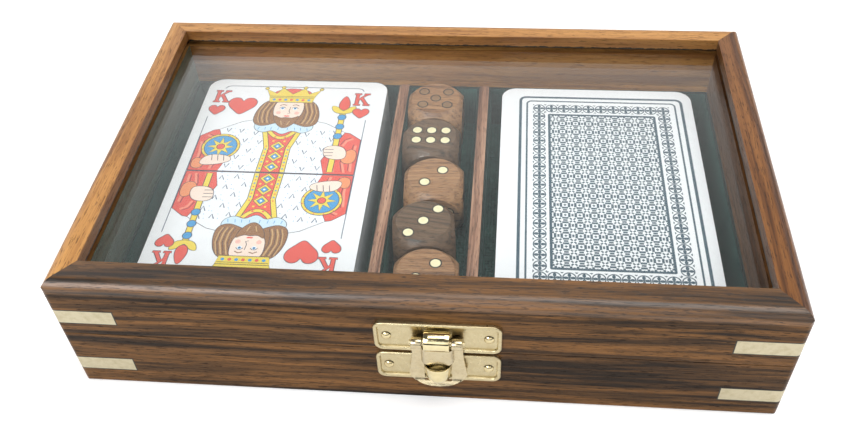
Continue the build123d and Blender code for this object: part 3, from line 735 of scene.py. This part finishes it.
    # a blue roundel with a gold star, held on the left
    lay("yellow", around(-17.2, 10.8, 5.9, 12))
    lay("blue", around(-17.2, 10.8, 5.0, 12))
    lay("yellow", around(-17.2, 10.8, 4.1, 16, pi / 2, 1.7), False)
    lay("red", around(-17.2, 10.8, 1.2, 8))
    for step in range(12):
        angle = pi / 6 * (step + 0.5)
        lay("red", around(-17.2 + 5.45 * cos(angle), 10.8 + 5.45 * sin(angle), 0.26, 5), False, False)
    lay("cuff", [(-24.2, 1.4), (-21.4, 0.8), (-20, 4), (-22.6, 5.8), (-24.3, 5)])
    lay("skin", [(-22.2, 2.4), (-21.4, 6), (-18.4, 7.4), (-13.6, 6.8), (-12.4, 4.8), (-16, 3)])
    for u in (-18.9, -17.1, -15.3):
        lay_line([(u, 7.1), (u + 0.5, 4.6)], 0.22)
    # a gold sceptre with a red bud, held on the right
    lay("yellow", stroke([(17.4, 1), (17.4, 28)], 1.5), False)
    for v in (17, 21.5, 26):
        lay("blue", around(17.4, v, 1.3, 8))
    lay("yellow", [(14.6, 27.8), (13.2, 31.8), (16, 30.8), (17.4, 28.6), (18.8, 30.8), (21.6, 31.8),
                   (20.2, 27.8)])
    lay("red", [(17.4, 37.4), (15.6, 33), (16, 30.2), (17.4, 29.4), (18.8, 30.2), (19.2, 33)])
    lay("cuff", [(24.2, 5.2), (20.8, 4.6), (19.4, 7.8), (22, 11.4), (24.3, 10.4)])
    lay("skin", [(21.4, 7), (20.8, 11.4), (17.8, 12.8), (14.4, 12), (14.2, 9.6), (15, 7.4), (18, 6.4)])
    for v in (8, 9.4, 10.8):
        lay_line([(14.5, v), (17.2, v + 0.1)], 0.22)
    # suit marks and the corner letters
    lay("red", heart(-15.2, 30.2, 7.0))
    for side in (-1, 1):
        lay("red", letter_k(side * 22.5, 35.0, 5.9), False)
        lay("red", heart(side * 22.9, 28.0, 3.9))
    return shapes


def flat_shape(name, outlines, smooth, height, material):
    """Closed outlines in the plane of the card, as a filled curve."""
    curve = bpy.data.curves.new(name, "CURVE")
    curve.dimensions = "2D"
    curve.fill_mode = "BOTH"
    curve.resolution_u = 5
    for points in outlines:
        spline = curve.splines.new("NURBS" if smooth else "POLY")
        spline.points.add(len(points) - 1)
        for point, (u, v) in zip(spline.points, points):
            point.co = ((LEFT_DECK.x + PRINT_SHIFT + u) * MM, (LEFT_DECK.y + v) * MM, 0, 1)
        spline.use_cyclic_u = True
        if smooth:
            spline.order_u = 3
    curve.materials.append(material)
    shape = bpy.data.objects.new(name, curve)
    shape.location.z = height * MM
    scene.collection.objects.link(shape)
    return shape


def make_court_print():
    """The inked shapes of both halves, each a hair above the last, as one flat piece."""
    bpy.ops.object.select_all(action="DESELECT")
    height = CARD_TOP + INK_LIFT
    top_line = stroke([(-22.6, 39.2), (-21.9, 40.2), (-20.8, 40.6),
                       (20.8, 40.6), (21.9, 40.2), (22.6, 39.2)], 0.3)
    side_line = stroke([(-24.9, -25), (-24.9, 25)], 0.26)
    frame_outlines = [top_line, side_line] + [[(-u, -v) for u, v in line] for line in (top_line, side_line)]
    pieces = [flat_shape("court_frame_lines", frame_outlines, False, height, ink_materials["frame"])]
    for number, (ink, smooth, outlined, points) in enumerate(court_shapes()):
        layers = [("line", grown(points, OUTLINE)), (ink, points)] if outlined else [(ink, points)]
        for layer_ink, outline in layers:
            height += INK_STEP
            turned = [(-u, -v) for u, v in outline]
            pieces.append(flat_shape("court_shape_" + str(number), [outline, turned], smooth, height,
                                     ink_materials[layer_ink]))
    midline = [stroke([(-24.7, 0), (24.7, 0)], 0.35)]
    pieces.append(flat_shape("court_midline", midline, False, height + INK_STEP, ink_materials["line"]))
    for piece in pieces:
        piece.select_set(True)
    bpy.context.view_layer.objects.active = pieces[0]
    bpy.ops.object.convert(target="MESH")
    bpy.ops.object.join()
    printed = bpy.context.object
    printed.name = "court_card_print"
    bpy.ops.object.transform_apply()
    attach(printed, "base")


make_court_print()


# ---- dice ----
DIE_TURNS = (0.05, 0.2, -0.1, 0.15, 0.0)
for index, turn in enumerate(DIE_TURNS, 1):
    die_tones = DICE_DARK if index in (2, 4) else DICE_LIGHT
    die_cut = (turn, (31 * index, 57 * index, 13 * index), die_tones, 1.1, 0.36, 0.35, 1.2)
    dress("die_" + str(index), make_wood("die_" + str(index) + "_wood", die_cut, coat=0.3))


# ---- modelling helpers ----
def begin(name, add, **settings):
    """Adds one primitive with nothing else selected."""
    bpy.ops.object.select_all(action="DESELECT")
    add(**settings)
    piece = bpy.context.object
    piece.name = name
    return piece


def pick(piece, faces=None, edges=None):
    """In edit mode, selects the faces or edges that a test accepts."""
    bpy.ops.mesh.select_mode(type="FACE" if faces else "EDGE")
    bpy.ops.mesh.select_all(action="DESELECT")
    mesh = bmesh.from_edit_mesh(piece.data)
    for part in (mesh.faces if faces else mesh.edges):
        if (faces or edges)(part):
            part.select_set(True)
    mesh.select_flush_mode()
    bmesh.update_edit_mesh(piece.data)


def complete(pieces, name, material, body, slot_name, *replaced):
    """Joins pieces into one and settles its place, shading, finish and body."""
    bpy.ops.object.select_all(action="DESELECT")
    for piece in pieces:
        piece.select_set(True)
        bpy.context.view_layer.objects.active = piece
        for modifier in list(piece.modifiers):
            bpy.ops.object.modifier_apply(modifier=modifier.name)
    bpy.context.view_layer.objects.active = pieces[0]
    bpy.ops.object.transform_apply()
    if len(pieces) > 1:
        bpy.ops.object.join()
    bpy.ops.object.shade_smooth_by_angle(angle=radians(40))
    joined = bpy.context.object
    joined.name = name
    joined.data.materials.clear()
    joined.data.materials.append(material)
    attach(joined, body)
    if replaced:
        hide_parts(*replaced)


def formed_sheet(name, columns, rows, place_of, thickness, bevel, keep=None):
    """Sheet metal: a grid whose points are laid on a surface, then given a thickness."""
    piece = begin(name, bpy.ops.mesh.primitive_grid_add, x_subdivisions=columns, y_subdivisions=rows, size=2)
    for vertex in piece.data.vertices:
        vertex.co = Vector(place_of((vertex.co.x + 1) / 2, (vertex.co.y + 1) / 2)) * MM
    bpy.ops.object.mode_set(mode="EDIT")
    if keep:
        pick(piece, faces=lambda face: not keep(face.calc_center_median() / MM))
        bpy.ops.mesh.delete(type="FACE")
    bpy.ops.mesh.select_all(action="SELECT")
    bpy.ops.mesh.remove_doubles(threshold=0.01 * MM)
    bpy.ops.mesh.normals_make_consistent(inside=False)
    bpy.ops.object.mode_set(mode="OBJECT")
    solid = piece.modifiers.new("sheet_thickness", "SOLIDIFY")
    solid.thickness = thickness * MM
    solid.offset = 0
    soft = piece.modifiers.new("eased_edges", "BEVEL")
    soft.width = bevel * MM
    soft.segments = 2
    soft.limit_method = "ANGLE"
    soft.angle_limit = radians(50)
    return piece


# ---- brass clasp ----
CLASP_X, FACE_Y = 5.2, -56.0
PIN_OUT, PIN_Z = 2.7, 26.6
PLATE_WIDTH, PLATE_HEIGHT, PLATE_CORNER = 30.4, 10.1, 2.2
BEAD_WIDTH, BEAD_HEIGHT, BEAD_STEP, BEAD_SLOPE, BEAD_ROUND = 0.95, 1.0, 0.6, 0.16, 0.36
UPPER_PLATE_Z, LOWER_PLATE_Z = 20.9, 9.6
BARREL_OUT, BARREL_Z, BARREL_RADIUS, BARREL_HALF = 2.2, 27.1, 2.3, 3.05
NOSE_TOP, NOSE_LOW, NOSE_HALF, NOSE_FOOT, NOSE_REACH = 17.9, 11.5, 3.0, 0.35, 4.1
HASP_BACK, HASP_THICKNESS, HASP_STRAIGHT = 1.3, 0.6, 13.0
EARS_LOW, EARS_HALF, BELL_HALF, BRIDGE_RISE = 3.5, 6.1, 7.1, 1.35
LIP_RADIUS, LIP_REACH = 4.0, 4.1
WINDOW_HALF, BRIDGE_TOP, BRIDGE_LOW, WINDOW_LOW = 3.35, 2.55, 7.7, 15.6
EAR_MIDDLE, EAR_WIDTH, EAR_RADIUS = 4.75, 2.6, 1.38


def at_clasp(across, out, height):
    """A point of the clasp: across from its middle, out from the front face, and its height."""
    return (CLASP_X + across, FACE_Y - out, height)


def pressed_plate(name, bottom):
    """A stamped plate: a rounded bead round a sunk, flat field."""
    middle = Vector(at_clasp(0, BEAD_HEIGHT / 2, bottom + PLATE_HEIGHT / 2)) * MM
    size = Vector((PLATE_WIDTH, BEAD_HEIGHT, PLATE_HEIGHT)) * MM
    piece = begin(name, bpy.ops.mesh.primitive_cube_add, size=1, location=middle, scale=size)
    bpy.ops.object.transform_apply()
    bpy.ops.object.mode_set(mode="EDIT")
    pick(piece, edges=lambda edge: abs(edge.verts[0].co.y - edge.verts[1].co.y) > 0.5 * MM)
    bpy.ops.mesh.bevel(offset=PLATE_CORNER * MM, segments=7, affect="EDGES")
    front = (FACE_Y - BEAD_HEIGHT) * MM

    def is_front(face):
        return face.normal.y < -0.9 and abs(face.calc_center_median().y - front) < 0.05 * MM

    pick(piece, faces=is_front)
    bpy.ops.mesh.inset(thickness=BEAD_WIDTH * MM)
    bpy.ops.mesh.inset(thickness=BEAD_SLOPE * MM)
    bpy.ops.transform.translate(value=(0, BEAD_STEP * MM, 0))
    pick(piece, edges=lambda edge: edge.calc_length() < 60 * MM and all(
        abs(v.co.y - front) < 0.02 * MM for v in edge.verts) and edge.calc_face_angle(0) > radians(20))
    bpy.ops.mesh.bevel(offset=BEAD_ROUND * MM, segments=4, affect="EDGES")
    bpy.ops.object.mode_set(mode="OBJECT")
    return piece


def rolled_knuckle():
    """The plate's strip rolled into a broad barrel round the pin."""
    def place_of(u, v):
        angle = radians(118 - 296 * v)
        return at_clasp(BARREL_HALF * (2 * u - 1), BARREL_OUT + BARREL_RADIUS * cos(angle),
                        BARREL_Z + BARREL_RADIUS * sin(angle))

    return formed_sheet("clasp_knuckle", 5, 40, place_of, 0.5, 0.16)


def scooped_nose():
    """The catch: a broad, hollow scoop, open above, that runs back to the plate below."""
    def place_of(u, v):
        angle = radians(180 * u - 90)
        across = NOSE_HALF * (1 - 0.04 * v - 0.1 * v ** 3) * sin(angle)
        reach = NOSE_REACH * (1 - v ** 8) ** 0.5 * (1 - 0.2 * v * sin(angle) ** 2)
        return at_clasp(across, NOSE_FOOT + reach * max(cos(angle), 0.0) ** 0.45,
                        NOSE_TOP + (NOSE_LOW - NOSE_TOP) * v)

    return formed_sheet("clasp_nose", 22, 26, place_of, 0.45, 0.12)


def hasp_half_width(down):
    """Half the hasp's width: straight at the ears, then a bell, then the round of the lip."""
    if down <= HASP_STRAIGHT:
        share = max(0.0, (down - EARS_LOW) / (HASP_STRAIGHT - EARS_LOW))
        return EARS_HALF + (BELL_HALF - EARS_HALF) * share ** 1.7
    share = min(1.0, (down - HASP_STRAIGHT) / LIP_REACH)
    return BELL_HALF * sqrt(max(0.0, 1 - share * share))


def hasp_place(across, down):
    """A point of the hasp's middle surface, by its distance across and down from the pin."""
    out, height = HASP_BACK + HASP_THICKNESS / 2, PIN_Z - down
    if down > HASP_STRAIGHT:
        angle = (down - HASP_STRAIGHT) / LIP_RADIUS
        out += LIP_RADIUS * (1 - cos(angle))
        height = PIN_Z - HASP_STRAIGHT - LIP_RADIUS * sin(angle)
    inside = min(max((WINDOW_HALF + 0.35 - abs(across)) / 0.5, 0.0), 1.0)
    if BRIDGE_TOP - 0.1 < down < BRIDGE_LOW + 0.1:
        out += BRIDGE_RISE * inside
    return at_clasp(across, out, height)


def bell_hasp():
    """The swinging hasp: side sheets, a pressed bridge, a window and a curled round lip."""
    length = HASP_STRAIGHT + LIP_REACH

    def place_of(u, v):
        down = length * v
        half = hasp_half_width(down)
        inner = min(WINDOW_HALF, half * 0.6)
        side = 2 * u - 1
        if abs(side) < 0.5:
            across = side / 0.5 * inner
        else:
            across = copysign(inner + (abs(side) - 0.5) / 0.5 * (half - inner), side)
        return hasp_place(across, down)

    def keep(point):
        across = abs(point.x - CLASP_X)
        down = PIN_Z - point.z
        if point.z < PIN_Z - HASP_STRAIGHT:
            down = HASP_STRAIGHT + LIP_RADIUS * asin(min(1.0, (PIN_Z - HASP_STRAIGHT - point.z) / LIP_RADIUS))
        return across >= WINDOW_HALF or not (down < BRIDGE_TOP or BRIDGE_LOW < down < WINDOW_LOW)

    return formed_sheet("clasp_hasp_sheet", 24, 68, place_of, HASP_THICKNESS, 0.14, keep)


def hasp_ears():
    """Two short rolls beside the barrel, by which the hasp hangs on the pin."""
    ears = []
    for side in (-1, 1):
        ear = begin("hasp_ear", bpy.ops.mesh.primitive_cylinder_add, vertices=32, radius=EAR_RADIUS * MM,
                    depth=EAR_WIDTH * MM, location=Vector(at_clasp(side * EAR_MIDDLE, PIN_OUT, PIN_Z)) * MM,
                    rotation=(0, pi / 2, 0))
        bpy.ops.object.mode_set(mode="EDIT")
        pick(ear, edges=lambda edge: edge.calc_face_angle(0) > radians(60))
        bpy.ops.mesh.bevel(offset=0.2 * MM, segments=3, affect="EDGES")
        bpy.ops.object.mode_set(mode="OBJECT")
        ears.append(ear)
    return ears


def make_clasp():
    complete([pressed_plate("clasp_upper_field", UPPER_PLATE_Z)], "clasp_upper_pressing", clasp_brass, "lid",
             "clasp_brass", "clasp_upper_plate")
    complete([rolled_knuckle()], "clasp_upper_barrel", polished_brass, "lid", "clasp_brass")
    complete([pressed_plate("clasp_lower_field", LOWER_PLATE_Z)], "clasp_lower_pressing", clasp_brass, "base",
             "clasp_brass", "clasp_lower_plate")
    complete([scooped_nose()], "clasp_lower_nose", polished_brass, "base", "clasp_brass")
    complete([bell_hasp()] + hasp_ears(), "clasp_bell_hasp", hasp_brass, "hasp", "clasp_brass", "clasp_hasp")


# ---- rings of the pips ----
DIE_SIZE, DIE_BOTTOM, PIP_SPREAD = 17.0, 3.7, 4.0
RING_RADIUS, RING_HALF, RING_SINK = 1.54, 0.24, 0.14
# each die: its top, X and Y of its middle, and its turn in degrees
DICE = ((5, -2.79, 39.69, 0.0), (6, -2.79, 21.81, 0.59), (2, -0.6, 3.93, 2.01), (3, -2.04, -13.95, 6.07),
        (2, 0.11, -31.83, 2.01))
FOUR_PIPS = [(u, v) for u in (-0.95, 0.95) for v in (-0.8, 0.8)]
PIPS = {
    1: [(0, 0)], 2: [(-0.62, -0.62), (0.62, 0.62)], 3: [(-1.05, -1.05), (0, 0), (1.05, 1.05)],
    4: FOUR_PIPS, 5: FOUR_PIPS + [(0, 0)], 6: [(u, v) for u in (-1.08, 0, 1.08) for v in (-0.56, 0.56)],
}
BESIDE = {5: (6, 4), 6: (2, 3), 2: (6, 3), 3: (6, 2)}


def make_pip_rings(name, top, x, y, turn):
    """A thin dark seam round every pip of one die."""
    first, second = BESIDE[top]
    faces = [(top, 0, "X"), (7 - top, 180, "X"), (first, 90, "X"), (7 - first, -90, "X"), (second, 90, "Y"),
             (7 - second, -90, "Y")]
    middle = Vector((x, y, DIE_BOTTOM + DIE_SIZE / 2)) * MM
    die = Matrix.Translation(middle) @ Matrix.Rotation(radians(turn), 4, "Z")
    rings = []
    for count, angle, axis in faces:
        for u, v in PIPS[count]:
            ring = begin("pip_ring", bpy.ops.mesh.primitive_torus_add, major_radius=RING_RADIUS * MM,
                         minor_radius=RING_HALF * MM, major_segments=20, minor_segments=8)
            place = Vector((u * PIP_SPREAD, v * PIP_SPREAD, DIE_SIZE / 2 - RING_SINK)) * MM
            ring.matrix_world = die @ Matrix.Rotation(radians(angle), 4, axis) @ Matrix.Translation(place)
            rings.append(ring)
    complete(rings, name, ring_wood, "base", "dark_die_wood")


RING_TONES = (paint(16, 11, 8), paint(30, 21, 15), paint(44, 32, 24))
ring_wood = make_wood("pip_ring_dark", (ALONG_X, (3, 9, 27), RING_TONES, 1.0, 0.47, 0.6, 2.0))
hasp_brass = make_brass("brushed_hasp_brass", paint(203, 189, 156), paint(180, 158, 116), 0.3, 0.17)
polished_brass = make_brass("polished_barrel_brass", paint(230, 216, 172), paint(186, 156, 96), 0.25, 0.05)
make_clasp()
for index, die in enumerate(DICE, 1):
    make_pip_rings("die_" + str(index) + "_pip_rings", *die)


# ---- studio and camera ----
CAMERA_PLACE = Vector((19.88, -184.43, 196.78)) * MM
CAMERA_YAW, CAMERA_PITCH, CAMERA_ROLL = -6.93, 45.405, 2.966
CAMERA_LENS, CAMERA_SENSOR = 37.93, 36.0
# what the reflections see: the sine of each height, and how bright the world is there
HORIZON, WALL_FOOT, WALL_TOP, CEILING = 0.2, 0.27, 0.53, 0.72
HORIZON_SHARE, WALL_LEVEL, CEILING_LEVEL, DAYLIGHT = 0.04, 1.5, 0.12, 0.6
FLOOR_SIZE, FLOOR_DROP = 6.0, 0.0001
FADE_FROM, FADE_TO = 250.0, 2000.0


def make_camera():
    data = bpy.data.cameras.new("studio_camera")
    data.sensor_fit = "HORIZONTAL"
    data.sensor_width = CAMERA_SENSOR
    data.lens = CAMERA_LENS
    data.clip_start = 0.01
    camera = bpy.data.objects.new("studio_camera", data)
    scene.collection.objects.link(camera)
    turn = (Matrix.Rotation(radians(-CAMERA_YAW), 4, "Z")
            @ Matrix.Rotation(radians(90 - CAMERA_PITCH), 4, "X")
            @ Matrix.Rotation(radians(-CAMERA_ROLL), 4, "Z"))
    camera.matrix_world = Matrix.Translation(CAMERA_PLACE) @ turn
    scene.camera = camera


def make_lamp(name, place, size, power, colour):
    """A soft square lamp that looks at the box."""
    data = bpy.data.lights.new(name, "AREA")
    data.size = size
    data.energy = power
    data.color = colour
    lamp = bpy.data.objects.new(name, data)
    scene.collection.objects.link(lamp)
    lamp.location = place
    lamp.rotation_euler = (-Vector(place)).to_track_quat("-Z", "Y").to_euler()


def make_world():
    """Even daylight; reflections see a dark horizon, bright walls and a dimmer ceiling."""
    world = bpy.data.worlds.new("pale_studio")
    scene.world = world
    world.use_nodes = True
    w = Wiring(world.node_tree)
    backdrop = world.node_tree.nodes["Background"].inputs
    rays = w.add("ShaderNodeLightPath").outputs
    direction = w.add("ShaderNodeTexCoord").outputs["Generated"]
    side, _, height = w.split(w.vector("NORMALIZE", direction))
    walls = w.times(w.window(height, WALL_TOP, CEILING, WALL_LEVEL, CEILING_LEVEL),
                    w.window(height, HORIZON, WALL_FOOT, HORIZON_SHARE, 1.0),
                    w.window(side, -0.35, 0.35, 1.2, 0.8))
    glossy = rays["Is Glossy Ray"]
    w.feed(backdrop["Color"], (1.0, 1.0, 1.0, 1.0))
    level = w.plus(w.times(glossy, walls), w.times(w.minus(1.0, glossy), DAYLIGHT))
    through = w.most(rays["Is Camera Ray"], rays["Is Transmission Ray"])
    w.feed(backdrop["Strength"], w.most(level, through))


def make_floor():
    """A white floor that takes soft shadows and fades to plain white far away."""
    bpy.ops.object.select_all(action="DESELECT")
    bpy.ops.mesh.primitive_plane_add(size=FLOOR_SIZE, location=(0, 0, -FLOOR_DROP))
    floor = bpy.context.object
    floor.name = "studio_floor"
    material, w, shader, place = new_material("white_studio_floor", Roughness=0.9, Specular_IOR_Level=0.1)
    grain = w.noise(place, 0.02)
    w.feed(shader["Base Color"], w.mix(grain, paint(243, 243, 243), paint(247, 247, 247)))
    rays = w.add("ShaderNodeLightPath").outputs
    away = w.add("ShaderNodeVectorMath", {0: place}, operation="LENGTH").outputs["Value"]
    w.feed(shader["Emission Color"], (1.0, 1.0, 1.0, 1.0))
    fade = w.window(away, FADE_FROM, FADE_TO, 0.2, 1.0)
    w.feed(shader["Emission Strength"], w.times(rays["Is Camera Ray"], fade))
    floor.data.materials.append(material)


make_camera()
make_world()
make_floor()
make_lamp("window_lamp", (-0.45, -0.75, 0.75), 0.6, 6.5, (0.93, 0.96, 1.0))
make_lamp("ceiling_lamp", (0.25, -0.05, 0.95), 0.7, 5.6, (1.0, 0.985, 0.96))
scene.view_settings.view_transform = "Standard"
